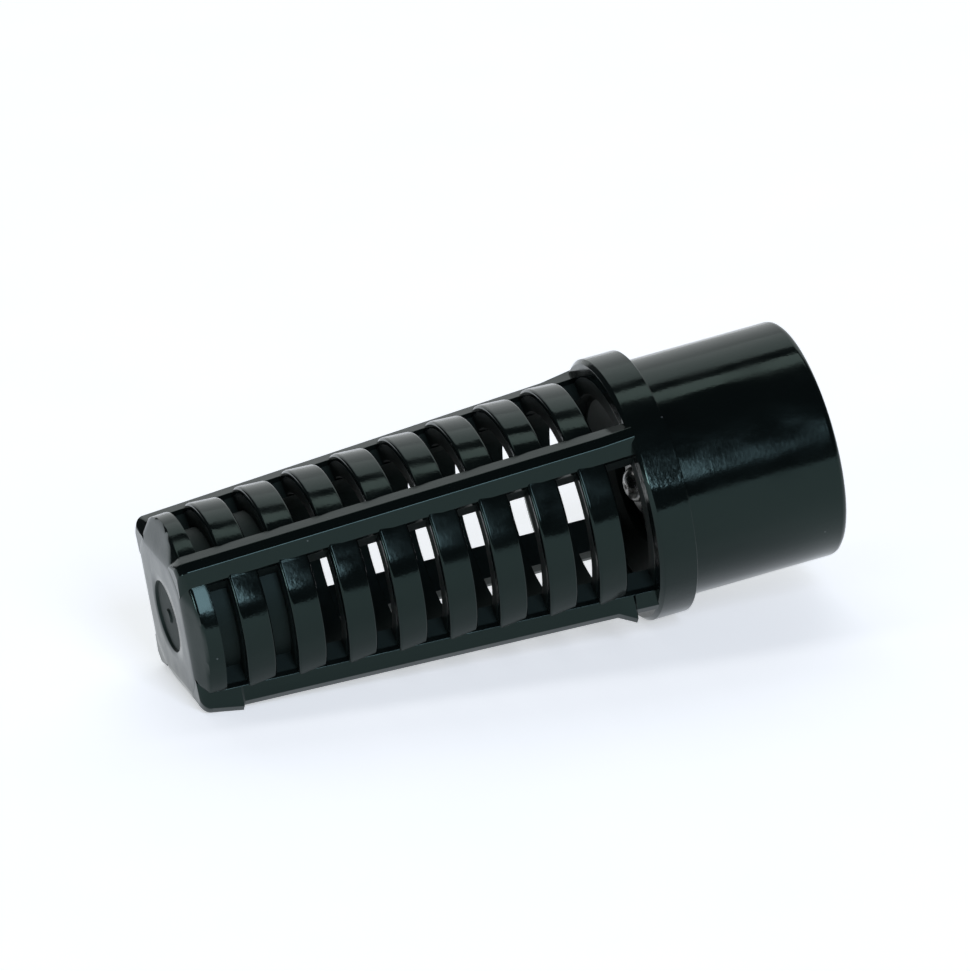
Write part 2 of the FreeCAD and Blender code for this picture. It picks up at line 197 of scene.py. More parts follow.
def soften(outline):
    """Rounds the corners of a closed outline of (a, b, radius) points and gives plain (a, b) points."""
    made = []
    count = len(outline)
    for k, (a, b, radius) in enumerate(outline):
        here = Vector((a, b))
        if radius <= 0:
            made.append(tuple(here))
            continue
        back = Vector(outline[k - 1][:2]) - here
        ahead = Vector(outline[(k + 1) % count][:2]) - here
        half = back.angle(ahead) / 2
        reach = min(radius / math.tan(half), FILLET_SHARE * back.length, FILLET_SHARE * ahead.length)
        radius = reach * math.tan(half)
        middle = here + (back.normalized() + ahead.normalized()).normalized() * (radius / math.sin(half))
        first = here + back.normalized() * reach - middle
        last = here + ahead.normalized() * reach - middle
        turn = first.angle_signed(last)
        for step in range(FILLET_STEPS + 1):
            part = -turn * step / FILLET_STEPS
            spun = Vector(
                (
                    first.x * math.cos(part) - first.y * math.sin(part),
                    first.x * math.sin(part) + first.y * math.cos(part),
                )
            )
            made.append(tuple(middle + spun))
    return made


def lofted(name, rings, closed):
    """A shell through rings of the same number of points. Open lofts get a flat cap at each end."""
    size = len(rings[0])
    verts = [p for ring in rings for p in ring]
    faces = []
    spans = len(rings) if closed else len(rings) - 1
    for k in range(spans):
        here, there = k * size, (k + 1) % len(rings) * size
        for j in range(size):
            turn = (j + 1) % size
            faces.append((here + j, here + turn, there + turn, there + j))
    if not closed:
        faces.append(tuple(range(size)))
        faces.append(tuple(range(len(verts) - size, len(verts))))
    return solid(name, verts, faces)


def turned(name, outline, around=AROUND):
    """A hollow solid of revolution about X from a closed outline of (x, r, corner radius) points."""
    profile = soften(outline)
    rings = []
    for k in range(around):
        angle = 2 * math.pi * k / around
        rings.append([(x, r * math.cos(angle), r * math.sin(angle)) for x, r in profile])
    return lofted(name, rings, True)


SMOOTH_ANGLE = 32
FACE_SIZE_WEIGHT = 100


def settle(piece):
    """Smooth shading with crisp edges, weighted by face size, and every modifier baked into a plain mesh."""
    mesh = piece.data
    mesh.shade_smooth()
    mesh.set_sharp_from_angle(angle=math.radians(SMOOTH_ANGLE))
    weighted = piece.modifiers.new("weighted normals", "WEIGHTED_NORMAL")
    weighted.weight = FACE_SIZE_WEIGHT
    weighted.keep_sharp = True
    return baked(piece)


def baked(piece):
    """Replaces a piece's mesh with its evaluated one and drops the modifiers."""
    graph = bpy.context.evaluated_depsgraph_get()
    graph.update()
    mesh = bpy.data.meshes.new_from_object(piece.evaluated_get(graph), depsgraph=graph)
    piece.modifiers.clear()
    piece.data = mesh
    mesh.name = piece.name
    return piece


def paint(piece, material):
    """Gives a piece one material all over."""
    piece.data.materials.clear()
    piece.data.materials.append(material)
    return piece


# ---- geometry node trees --------------------------------------------------------------------------------


def new_tree(name, inputs, takes_mesh):
    """An empty geometry tree with named number inputs, and the group nodes at its two ends."""
    tree = bpy.data.node_groups.new(name, "GeometryNodeTree")
    if takes_mesh:
        tree.interface.new_socket("Piece", in_out="INPUT", socket_type="NodeSocketGeometry")
    for label, kind in inputs:
        tree.interface.new_socket(label, in_out="INPUT", socket_type=kind)
    tree.interface.new_socket("Geometry", in_out="OUTPUT", socket_type="NodeSocketGeometry")
    return tree, tree.nodes.new("NodeGroupInput"), tree.nodes.new("NodeGroupOutput")


def add(tree, kind, **settings):
    """A node with some of its settings."""
    node = tree.nodes.new(kind)
    for key, value in settings.items():
        setattr(node, key, value)
    return node


def math_node(tree, operation, first, second):
    """A Math node whose inputs are sockets or plain numbers."""
    node = add(tree, "ShaderNodeMath", operation=operation)
    for socket, value in zip(node.inputs, (first, second)):
        if isinstance(value, bpy.types.NodeSocket):
            tree.links.new(value, socket)
        else:
            socket.default_value = value
    return node.outputs[0]


def finish_tree(tree, geometry, out, material):
    """Ends a tree in Realize Instances and Set Material."""
    real = add(tree, "GeometryNodeRealizeInstances")
    dress = add(tree, "GeometryNodeSetMaterial")
    dress.inputs["Material"].default_value = material
    tree.links.new(geometry, real.inputs[0])
    tree.links.new(real.outputs[0], dress.inputs["Geometry"])
    tree.links.new(dress.outputs[0], out.inputs[0])


def grown(name, tree, values, start=None):
    """A piece made by a geometry tree, with its inputs set by their identifiers, as a plain mesh."""
    piece = start or solid(name, [], [])
    modifier = piece.modifiers.new("maker", "NODES")
    modifier.node_group = tree
    for item in tree.interface.items_tree:
        if item.in_out == "INPUT" and item.name in values:
            modifier[item.identifier] = values[item.name]
    return baked(piece)


def ring_row_tree(material):
    """A row of round bands along X whose radius grows with distance, each with a soft slanted section."""
    numbers = [
        ("Count", "NodeSocketInt"),
        ("First Centre", "NodeSocketFloat"),
        ("Pitch", "NodeSocketFloat"),
        ("First Radius", "NodeSocketFloat"),
        ("Radius Step", "NodeSocketFloat"),
    ]
    tree, start, out = new_tree("cage rings", numbers, True)
    link = tree.links.new
    circle = add(tree, "GeometryNodeCurvePrimitiveCircle")
    circle.inputs["Resolution"].default_value = AROUND
    circle.inputs["Radius"].default_value = 1.0
    line = add(tree, "GeometryNodeMeshLine", mode="OFFSET")
    link(start.outputs["Count"], line.inputs["Count"])
    gap = add(tree, "ShaderNodeCombineXYZ")
    link(start.outputs["Pitch"], gap.inputs["Z"])
    link(gap.outputs[0], line.inputs["Offset"])
    first = add(tree, "ShaderNodeCombineXYZ")
    link(start.outputs["First Centre"], first.inputs["Z"])
    link(first.outputs[0], line.inputs["Start Location"])
    index = add(tree, "GeometryNodeInputIndex")
    grow = math_node(tree, "MULTIPLY", index.outputs[0], start.outputs["Radius Step"])
    radius = math_node(tree, "ADD", grow, start.outputs["First Radius"])
    place = add(tree, "GeometryNodeInstanceOnPoints")
    link(line.outputs[0], place.inputs["Points"])
    link(circle.outputs["Curve"], place.inputs["Instance"])
    link(radius, place.inputs["Scale"])
    real = add(tree, "GeometryNodeRealizeInstances")
    link(place.outputs[0], real.inputs[0])
    upright = add(tree, "GeometryNodeSetCurveNormal", mode="Z_UP")
    link(real.outputs[0], upright.inputs[0])
    section = add(tree, "GeometryNodeMeshToCurve")
    link(start.outputs["Piece"], section.inputs[0])
    sweep = add(tree, "GeometryNodeCurveToMesh")
    link(upright.outputs[0], sweep.inputs["Curve"])
    link(section.outputs[0], sweep.inputs["Profile Curve"])
    lay = add(tree, "GeometryNodeTransform")
    lay.inputs["Rotation"].default_value = (0, math.radians(90), 0)
    link(sweep.outputs[0], lay.inputs["Geometry"])
    finish_tree(tree, lay.outputs[0], out, material)
    return tree


def copies_tree(material):
    """Copies of a piece turned about the X axis by equal steps."""
    numbers = [("Count", "NodeSocketInt"), ("Start", "NodeSocketFloat"), ("Step", "NodeSocketFloat")]
    tree, start, out = new_tree("copies about the axis", numbers, True)
    link = tree.links.new
    points = add(tree, "GeometryNodePoints")
    link(start.outputs["Count"], points.inputs["Count"])
    index = add(tree, "GeometryNodeInputIndex")
    turn = math_node(tree, "MULTIPLY", index.outputs[0], start.outputs["Step"])
    angle = math_node(tree, "ADD", turn, start.outputs["Start"])
    spin = add(tree, "ShaderNodeCombineXYZ")
    link(angle, spin.inputs["X"])
    place = add(tree, "GeometryNodeInstanceOnPoints")
    link(points.outputs[0], place.inputs["Points"])
    link(start.outputs["Piece"], place.inputs["Instance"])
    link(spin.outputs[0], place.inputs["Rotation"])
    finish_tree(tree, place.outputs[0], out, material)
    return tree


def coil_tree(material):
    """A conical wire coil along X between two radii."""
    numbers = [
        ("Turns", "NodeSocketFloat"),
        ("Start Radius", "NodeSocketFloat"),
        ("End Radius", "NodeSocketFloat"),
        ("Start", "NodeSocketFloat"),
        ("Length", "NodeSocketFloat"),
        ("Wire Radius", "NodeSocketFloat"),
    ]
    tree, start, out = new_tree("coil spring", numbers, False)
    link = tree.links.new
    spiral = add(tree, "GeometryNodeCurveSpiral")
    spiral.inputs["Resolution"].default_value = COIL_STEPS
    for theirs, ours in (
        ("Rotations", "Turns"),
        ("Start Radius", "Start Radius"),
        ("End Radius", "End Radius"),
        ("Height", "Length"),
    ):
        link(start.outputs[ours], spiral.inputs[theirs])
    wire = add(tree, "GeometryNodeCurvePrimitiveCircle")
    wire.inputs["Resolution"].default_value = WIRE_STEPS
    link(start.outputs["Wire Radius"], wire.inputs["Radius"])
    sweep = add(tree, "GeometryNodeCurveToMesh")
    sweep.inputs["Fill Caps"].default_value = True
    link(spiral.outputs[0], sweep.inputs["Curve"])
    link(wire.outputs["Curve"], sweep.inputs["Profile Curve"])
    lay = add(tree, "GeometryNodeTransform")
    lay.inputs["Rotation"].default_value = (0, math.radians(90), 0)
    link(sweep.outputs[0], lay.inputs["Geometry"])
    shift = add(tree, "ShaderNodeCombineXYZ")
    link(start.outputs["Start"], shift.inputs["X"])
    link(shift.outputs[0], lay.inputs["Translation"])
    finish_tree(tree, lay.outputs[0], out, material)
    return tree


# ---- material helpers -----------------------------------------------------------------------------------


def shader_group(name, inputs, outputs):
    """An empty shader group with named sockets."""
    group = bpy.data.node_groups.new(name, "ShaderNodeTree")
    for label, kind in inputs:
        group.interface.new_socket(label, in_out="INPUT", socket_type=kind)
    for label, kind in outputs:
        group.interface.new_socket(label, in_out="OUTPUT", socket_type=kind)
    return group, group.nodes.new("NodeGroupInput"), group.nodes.new("NodeGroupOutput")


def noise_node(tree, vector, scale, detail=2.0):
    """Fractal noise at a scale that is a socket or a number."""
    node = add(tree, "ShaderNodeTexNoise")
    tree.links.new(vector, node.inputs["Vector"])
    if isinstance(scale, bpy.types.NodeSocket):
        tree.links.new(scale, node.inputs["Scale"])
    else:
        node.inputs["Scale"].default_value = scale
    node.inputs["Detail"].default_value = detail
    return node.outputs["Fac"]


def remap(tree, value, low, high, to_low, to_high):
    """A clamped range map."""
    node = add(tree, "ShaderNodeMapRange")
    tree.links.new(value, node.inputs["Value"])
    for label, number in (("From Min", low), ("From Max", high), ("To Min", to_low), ("To Max", to_high)):
        if isinstance(number, bpy.types.NodeSocket):
            tree.links.new(number, node.inputs[label])
        else:
            node.inputs[label].default_value = number
    return node.outputs["Result"]


def moulded_skin_group():
    """The skin of a moulding: slow waviness along the flow, fine orange peel and uneven polish."""
    group, start, out = shader_group(
        "moulded skin",
        [
            ("Vector", "NodeSocketVector"),
            ("Wave Scale", "NodeSocketFloat"),
            ("Peel Scale", "NodeSocketFloat"),
            ("Peel Share", "NodeSocketFloat"),
            ("Roughness Low", "NodeSocketFloat"),
            ("Roughness High", "NodeSocketFloat"),
        ],
        [("Height", "NodeSocketFloat"), ("Roughness", "NodeSocketFloat")],
    )
    link = group.links.new
    stretch = add(group, "ShaderNodeMapping")
    stretch.inputs["Scale"].default_value = (0.45, 1.0, 1.0)
    link(start.outputs["Vector"], stretch.inputs["Vector"])
    wave = noise_node(group, stretch.outputs[0], start.outputs["Wave Scale"], 1.0)
    peel = noise_node(group, start.outputs["Vector"], start.outputs["Peel Scale"], 3.0)
    small = math_node(group, "MULTIPLY", peel, start.outputs["Peel Share"])
    link(math_node(group, "ADD", wave, small), out.inputs["Height"])
    blotch = noise_node(group, stretch.outputs[0], 420.0, 4.0)
    rough = remap(group, blotch, 0.35, 0.7, start.outputs["Roughness Low"], start.outputs["Roughness High"])
    link(rough, out.inputs["Roughness"])
    return group


def flecks_group():
    """Sparse small specks, as of dust and moulding blemishes."""
    group, start, out = shader_group(
        "flecks",
        [("Vector", "NodeSocketVector"), ("Scale", "NodeSocketFloat"), ("Size", "NodeSocketFloat")],
        [("Mask", "NodeSocketFloat")],
    )
    link = group.links.new
    cells = add(group, "ShaderNodeTexVoronoi")
    link(start.outputs["Vector"], cells.inputs["Vector"])
    link(start.outputs["Scale"], cells.inputs["Scale"])
    near = math_node(group, "LESS_THAN", cells.outputs["Distance"], start.outputs["Size"])
    chance = add(group, "ShaderNodeSeparateColor")
    link(cells.outputs["Color"], chance.inputs[0])
    rare = math_node(group, "GREATER_THAN", chance.outputs[0], 0.8)
    link(math_node(group, "MULTIPLY", near, rare), out.inputs["Mask"])
    return group


INNER_BLEND = 0.0004


def inside_group():
    """The unpolished parts of a round moulding: inside a cone about X from Start on, and near the axis."""
    group, start, out = shader_group(
        "inner side",
        [
            ("Vector", "NodeSocketVector"),
            ("Radius", "NodeSocketFloat"),
            ("Taper", "NodeSocketFloat"),
            ("Start", "NodeSocketFloat"),
            ("Core Radius", "NodeSocketFloat"),
        ],
        [("Mask", "NodeSocketFloat")],
    )
    link = group.links.new
    split = add(group, "ShaderNodeSeparateXYZ")
    link(start.outputs["Vector"], split.inputs[0])
    across = add(group, "ShaderNodeCombineXYZ")
    link(split.outputs["Y"], across.inputs["Y"])
    link(split.outputs["Z"], across.inputs["Z"])
    reach = add(group, "ShaderNodeVectorMath", operation="LENGTH")
    link(across.outputs[0], reach.inputs[0])
    grow = math_node(group, "MULTIPLY", split.outputs["X"], start.outputs["Taper"])
    limit = math_node(group, "ADD", grow, start.outputs["Radius"])
    depth = math_node(group, "SUBTRACT", limit, reach.outputs["Value"])
    cavity = remap(group, depth, 0.0, INNER_BLEND, 0.0, 1.0)
    behind = math_node(group, "GREATER_THAN", split.outputs["X"], start.outputs["Start"])
    core = math_node(group, "LESS_THAN", reach.outputs["Value"], start.outputs["Core Radius"])
    inner = math_node(group, "MULTIPLY", cavity, behind)
    link(math_node(group, "MAXIMUM", inner, core), out.inputs["Mask"])
    return group


def place_group(tree, group, vector, **values):
    """A group node fed with the object's own coordinates and plain numbers."""
    node = add(tree, "ShaderNodeGroup")
    node.node_tree = group
    tree.links.new(vector, node.inputs["Vector"])
    for label, number in values.items():
        node.inputs[label.replace("_", " ")].default_value = number
    return node


def bump(tree, height, distance, strength, normal=None):
    """A Bump node, distance in metres."""
    node = add(tree, "ShaderNodeBump")
    node.inputs["Distance"].default_value = distance
    node.inputs["Strength"].default_value = strength
    tree.links.new(height, node.inputs["Height"])
    if normal is not None:
        tree.links.new(normal, node.inputs["Normal"])
    return node.outputs[0]


def new_material(name, **plain):
    """A Principled material with plain constants, and its tree, shader and object coordinates."""
    material = bpy.data.materials.new(name)
    material.use_nodes = True
    tree = material.node_tree
    shader = tree.nodes["Principled BSDF"]
    for label, value in plain.items():
        shader.inputs[label.replace("_", " ")].default_value = value
    coordinates = add(tree, "ShaderNodeTexCoord").outputs["Object"]
    return material, tree, shader, coordinates


def mixed_colour(tree, mask, first, second):
    """One colour or the other by a mask."""
    node = add(tree, "ShaderNodeMix", data_type="RGBA")
    tree.links.new(mask, node.inputs["Factor"])
    node.inputs["A"].default_value = (*first, 1)
    node.inputs["B"].default_value = (*second, 1)
    return node.outputs["Result"]


# ---- materials ------------------------------------------------------------------------------------------

JET = (0.0016, 0.0024, 0.0024)
DUST = (0.05, 0.056, 0.056)
INNER_ROUGHNESS = 0.6

SKIN = moulded_skin_group()
FLECKS = flecks_group()
INSIDE = inside_group()


def jet_black_moulding(name, wave_scale, wave_depth, outer_r, taper, inner_start):
    """Glossy jet-black plastic with a faintly wavy skin, a matt inner side and a few specks of dust."""
    material, tree, shader, where = new_material(name, IOR=1.38)
    shader.inputs["Specular Tint"].default_value = (0.66, 1.0, 0.9, 1.0)
    skin = place_group(
        tree, SKIN, where, Wave_Scale=wave_scale, Peel_Scale=2600.0, Peel_Share=0.12,
        Roughness_Low=0.08, Roughness_High=0.2,
    )
    specks = place_group(tree, FLECKS, where, Scale=340.0, Size=0.035)
    inner = place_group(
        tree, INSIDE, where, Radius=outer_r, Taper=taper, Start=inner_start, Core_Radius=NOSE_RECESS_R * MM,
    )
    link = tree.links.new
    link(mixed_colour(tree, specks.outputs[0], JET, DUST), shader.inputs["Base Color"])
    rough = math_node(tree, "MULTIPLY", inner.outputs[0], INNER_ROUGHNESS)
    link(math_node(tree, "MAXIMUM", rough, skin.outputs["Roughness"]), shader.inputs["Roughness"])
    link(bump(tree, skin.outputs["Height"], wave_depth, 1.0), shader.inputs["Normal"])
    return material


def charcoal_moulding():
    """Satin dark grey plastic of the inner guide."""
    material, tree, shader, where = new_material("charcoal moulding", IOR=1.5)
    skin = place_group(
        tree, SKIN, where, Wave_Scale=500.0, Peel_Scale=3500.0, Peel_Share=0.5,
        Roughness_Low=0.34, Roughness_High=0.5,
    )
    link = tree.links.new
    shade = noise_node(tree, where, 600.0, 4.0)
    link(mixed_colour(tree, shade, (0.030, 0.031, 0.033), (0.052, 0.053, 0.056)), shader.inputs["Base Color"])
    link(skin.outputs["Roughness"], shader.inputs["Roughness"])
    link(bump(tree, skin.outputs["Height"], 0.00002, 0.8), shader.inputs["Normal"])
    return material


def natural_acetal():
    """Waxy off-white plastic of the sliding valve."""
    material, tree, shader, where = new_material("natural acetal", IOR=1.48, Subsurface_Weight=0.12)
    shader.inputs["Subsurface Radius"].default_value = (0.0012, 0.001, 0.0008)
    skin = place_group(
        tree, SKIN, where, Wave_Scale=450.0, Peel_Scale=3000.0, Peel_Share=0.4,
        Roughness_Low=0.3, Roughness_High=0.46,
    )
    link = tree.links.new
    shade = noise_node(tree, where, 350.0, 5.0)
    link(mixed_colour(tree, shade, (0.74, 0.72, 0.65), (0.84, 0.83, 0.78)), shader.inputs["Base Color"])
    link(skin.outputs["Roughness"], shader.inputs["Roughness"])
    link(bump(tree, skin.outputs["Height"], 0.00002, 0.6), shader.inputs["Normal"])
    return material


def nitrile_rubber():
    """Matt black rubber of the seals."""
    material, tree, shader, where = new_material("nitrile rubber", IOR=1.5)
    skin = place_group(
        tree, SKIN, where, Wave_Scale=700.0, Peel_Scale=6000.0, Peel_Share=1.0,
        Roughness_Low=0.52, Roughness_High=0.72,
    )
    bloom = place_group(tree, FLECKS, where, Scale=900.0, Size=0.12)
    link = tree.links.new
    shade = mixed_colour(tree, bloom.outputs[0], (0.012, 0.012, 0.013), (0.03, 0.03, 0.031))
    link(shade, shader.inputs["Base Color"])
    link(skin.outputs["Roughness"], shader.inputs["Roughness"])
    link(bump(tree, skin.outputs["Height"], 0.00003, 0.8), shader.inputs["Normal"])
    return material


def drawn_stainless():
    """Dulled stainless steel with a fine grain."""
    material, tree, shader, where = new_material("drawn stainless", Metallic=1.0)
    skin = place_group(
        tree, SKIN, where, Wave_Scale=900.0, Peel_Scale=5000.0, Peel_Share=0.6,
        Roughness_Low=0.2, Roughness_High=0.36,
    )
    link = tree.links.new
    shade = noise_node(tree, where, 1800.0, 6.0)
    link(mixed_colour(tree, shade, (0.26, 0.26, 0.25), (0.38, 0.38, 0.37)), shader.inputs["Base Color"])
    link(skin.outputs["Roughness"], shader.inputs["Roughness"])
    link(bump(tree, skin.outputs["Height"], 0.000012, 0.7), shader.inputs["Normal"])
    return material


# The polish of the outside stops a little way below the rings' faces, and on the pipe end inside the socket.
POLISH_DEPTH = 0.35
POLISH_END = 2.6
CAGE_INNER_R = (cage_r(-NOSE) - POLISH_DEPTH) * MM
CAGE_INNER_START = (NOSE + POLISH_END) * MM
CAGE_BLACK = jet_black_moulding("cage black", 260.0, 0.00006, CAGE_INNER_R, CAGE_TAPER, CAGE_INNER_START)
BODY_BLACK = jet_black_moulding("pipe end black", 230.0, 0.00005, SEAL_GROOVE_R * MM, 0.0, NOSE * MM)
CHARCOAL = charcoal_moulding()
ACETAL = natural_acetal()
RUBBER = nitrile_rubber()
STAINLESS = drawn_stainless()


# ---- strainer basket ------------------------------------------------------------------------------------


def soft_least(values, softness):
    """The least of some numbers, with the change from one to another rounded off."""
    least = min(values)
    total = sum(math.exp((least - v) / softness) for v in values)
    return least - softness * math.log(total)


def nose_r(s, angle):
    """Radius of the sloped nose: four sides that lean out, clipped corners, and the round cage."""
    from_side = (angle + math.pi / 4) % (math.pi / 2) - math.pi / 4
    side = (NOSE_HALF_SIDE + NOSE_SIDE_SPREAD * s) / math.cos(from_side)
    corner = NOSE_CORNER_R + NOSE_CORNER_SPREAD * s
    return soft_least((side, corner, cage_r(s)), NOSE_SOFTNESS)


def core_r(s):
    """Radius of the solid core behind the nose, which just reaches into the first two rings."""
    return cage_r(s) - CAGE_WALL + CORE_OVERLAP


def nose_rings(angle):
    """One meridian of the nose, from the middle of its face out, round the slot floor and back inside."""
    mark = NOSE_RECESS_DEPTH - GATE_MARK_HEIGHT
    edge = NOSE_RECESS_R + RECESS_EDGE
    rim = nose_r(0, angle) - NOSE_EDGE_ROUND
    path = [(mark, POLE_R), (mark, GATE_MARK_R - GATE_MARK_SLOPE)]
    path += [(NOSE_RECESS_DEPTH, GATE_MARK_R), (NOSE_RECESS_DEPTH, NOSE_RECESS_R - RECESS_SLOPE)]
    path += [(RECESS_LIP, NOSE_RECESS_R), (0.0, edge)]
    path += [(0.0, edge + (rim - edge) * k / FACE_STEPS) for k in range(1, FACE_STEPS + 1)]
    for k in range(1, EDGE_STEPS + 1):
        turn = math.pi / 2 * k / EDGE_STEPS
        s = NOSE_EDGE_ROUND * (1 - math.cos(turn))
        inset = NOSE_EDGE_ROUND * (1 - math.sin(turn))
        path.append((s, nose_r(s, angle) - inset))
    run = FIRST_SLOT - RING_ROUND - NOSE_EDGE_ROUND
    for k in range(1, NOSE_WALL_STEPS + 1):
        s = NOSE_EDGE_ROUND + run * k / NOSE_WALL_STEPS
        path.append((s, nose_r(s, angle)))
    path.append((FIRST_SLOT - SLOT_EDGE_CUT, nose_r(FIRST_SLOT, angle) - SLOT_EDGE_CUT))
    path.append((FIRST_SLOT, nose_r(FIRST_SLOT, angle) - RING_ROUND))
    path.append((FIRST_SLOT, core_r(FIRST_SLOT) + CORE_FILLET))
    core_start, core_end = FIRST_SLOT + CORE_FILLET_RUN, NOSE_FLOOR + CAVITY_ROUND
    for k in range(CORE_STEPS):
        s = core_start + (core_end - core_start) * k / CORE_STEPS
        path.append((s, core_r(s)))
    wall = core_r(core_end)
    for k in range(CAVITY_STEPS, -1, -1):
        turn = math.pi / 2 * k / CAVITY_STEPS
        s = NOSE_FLOOR + CAVITY_ROUND * (1 - math.cos(turn))
        path.append((s, NOSE_FLOOR_R + (wall - NOSE_FLOOR_R) * math.sin(turn)))
    path.append((NOSE_FLOOR, POLE_R))
    return path


def nose_cap():
    """The closed sloped end of the cage."""
    rings = []
    for k in range(AROUND):
        angle = 2 * math.pi * k / AROUND
        rings.append(
            [(NOSE + s, r * math.cos(angle), r * math.sin(angle)) for s, r in nose_rings(angle)]
        )
    size = len(rings[0])
    verts = [p for ring in rings for p in ring]
    faces = []
    for k in range(AROUND):
        here, there = k * size, (k + 1) % AROUND * size
        for j in range(size - 1):
            faces.append((here + j, here + j + 1, there + j + 1, there + j))
    faces.append(tuple(k * size for k in range(AROUND)))
    faces.append(tuple(k * size + size - 1 for k in range(AROUND)))
    return solid("nose", verts, faces)


def crest_bump(s, lower):
    """How far a rib's crest stands above its straight line: feet and stop teeth, or a small rise."""
    if not lower:
        share = (s - RISE_START) / (CAGE_LENGTH - RISE_START)
        return RISE_HEIGHT * min(max(share, 0), 1)
    for start, peak, height in (
        (RIB_NOSE_ROUND, FOOT_LENGTH, FOOT_HEIGHT),
        (TOOTH_START, TOOTH_PEAK, TOOTH_HEIGHT),
    ):
        if start < s <= peak:
            return height * (s - start) / (peak - start)
        if peak < s < peak + STEP_LENGTH:
            return height * (1 - (s - peak) / STEP_LENGTH)
    return 0.0


def rib_section(s, lower):
    """A rib's soft-cornered outline of (t, r) points, s millimetres behind the nose face."""
    shoulder = min(cage_r(s), NOSE_CORNER_R + NOSE_CORNER_SPREAD * s)
    shoulder = math.sqrt(shoulder**2 - RIB_BASE_HALF**2)
    top = crest_r(s) + crest_bump(s, lower)
    if s < RIB_NOSE_ROUND:
        share = 1 - s / RIB_NOSE_ROUND
        top = RIB_NOSE_R + (crest_r(RIB_NOSE_ROUND) - RIB_NOSE_R) * math.sqrt(1 - share**2)
    inside = cage_r(s) - CAGE_WALL
    side = math.sqrt(inside**2 - RIB_BASE_HALF**2)
    return soften(
        [
            (-RIB_BASE_HALF, side, 0),
            (-RIB_BASE_HALF, shoulder, 0.1),
            (-RIB_CREST_HALF, top, 0.2),
            (RIB_CREST_HALF, top, 0.2),
            (RIB_BASE_HALF, shoulder, 0.1),
            (RIB_BASE_HALF, side, 0),
            (0, inside, 0),
        ]
    )


def rib_stations(lower):
    """Where a rib's outline changes, closest together where it bends."""
    run = RIB_NOSE_ROUND - RIB_SET_BACK
    made = [RIB_SET_BACK + run * (k / RIB_START_STEPS) ** 2 for k in range(RIB_START_STEPS + 1)]
    if lower:
        edges = [FOOT_LENGTH, FOOT_LENGTH + STEP_LENGTH, TOOTH_START, TOOTH_PEAK, TOOTH_PEAK + STEP_LENGTH]
    else:
        edges = [RISE_START]
    for edge in edges + [CAGE_LENGTH + COLLAR_BEVEL]:
        steps = max(1, round((edge - made[-1]) / RIB_SPREAD))
        start = made[-1]
        made += [start + (edge - start) * (k + 1) / steps for k in range(steps)]
    return made


def rib_bar(lower):
    """One rib along the +Y side of the axis."""
    rings = [[(NOSE + s, r, t) for t, r in rib_section(s, lower)] for s in rib_stations(lower)]
    return lofted("rib", rings, False)


def collar_band():
    """The thick band behind the cage, with a rounded front edge, a crisp back edge and the spigot's bore."""
    throat = cage_r(CAGE_LENGTH) - CAGE_WALL
    return turned(
        "collar",
        [
            (COLLAR_FRONT, throat, CAGE_CORNER_ROUND),
            (COLLAR_FRONT, COLLAR_R - COLLAR_BEVEL_DEPTH, CAGE_CORNER_ROUND),
            (COLLAR_FRONT + COLLAR_BEVEL, COLLAR_R, COLLAR_ROUND),
            (0, COLLAR_R, COLLAR_ROUND),
            (0, COLLAR_BORE_R, BORE_ROUND),
            (SPIGOT_FRONT, COLLAR_BORE_R, 0),
            (SPIGOT_FRONT, throat, 0),
        ],
    )


def ring_profile():
    """The outline of a ring's section as a loop of edges, x out from the axis and y along it."""
    half, wall = RING_WIDTH / 2, CAGE_WALL / 2
    lean = CAGE_TAPER * half
    corners = soften(
        [
            (wall - lean, -half, RING_ROUND),
            (wall + lean, half, RING_ROUND),
            (-wall + lean, half, CAGE_CORNER_ROUND),
            (-wall - lean, -half, CAGE_CORNER_ROUND),
        ]
    )
    mesh = bpy.data.meshes.new("ring profile")
    points = [(a * MM, b * MM, 0) for a, b in corners]
    mesh.from_pydata(points, [(k, (k + 1) % len(points)) for k in range(len(points))], [])
    piece = bpy.data.objects.new("ring profile", mesh)
    bpy.context.scene.collection.objects.link(piece)
    return piece


def cage_rings():
    """All the rings of the cage."""
    pitch = SLOT_WIDTH + RING_WIDTH
    first = FIRST_SLOT + SLOT_WIDTH + RING_WIDTH / 2
    values = {
        "Count": RING_COUNT,
        "First Centre": (NOSE + first) * MM,
        "Pitch": pitch * MM,
        "First Radius": (cage_r(first) - CAGE_WALL / 2) * MM,
        "Radius Step": CAGE_TAPER * pitch * MM,
    }
    return grown("rings", ring_row_tree(CAGE_BLACK), values, ring_profile())


def joined(base, others):
    """The union of closed shells."""
    for other in others:
        union = base.modifiers.new("union", "BOOLEAN")
        union.operation = "UNION"
        union.solver = "MANIFOLD"
        union.object = other
        baked(base)
        bpy.data.objects.remove(other)
    return base


def strainer_shell():
    """The whole strainer as one moulding."""
    copies = copies_tree(CAGE_BLACK)
    parts = []
    for lower, first_angle in ((False, UPPER_RIB_ANGLE), (True, LOWER_RIB_ANGLE)):
        values = {"Count": 2, "Start": math.radians(first_angle), "Step": math.radians(RIB_STEP_ANGLE)}
        parts.append(grown("ribs", copies, values, rib_bar(lower)))
    shell = joined(nose_cap(), [cage_rings(), *parts, collar_band()])
    shell.name = "strainer_shell"
    paint(settle(shell), CAGE_BLACK)
    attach(shell, "housing")
    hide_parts("strainer_basket")
    return shell


# ---- valve body -----------------------------------------------------------------------------------------


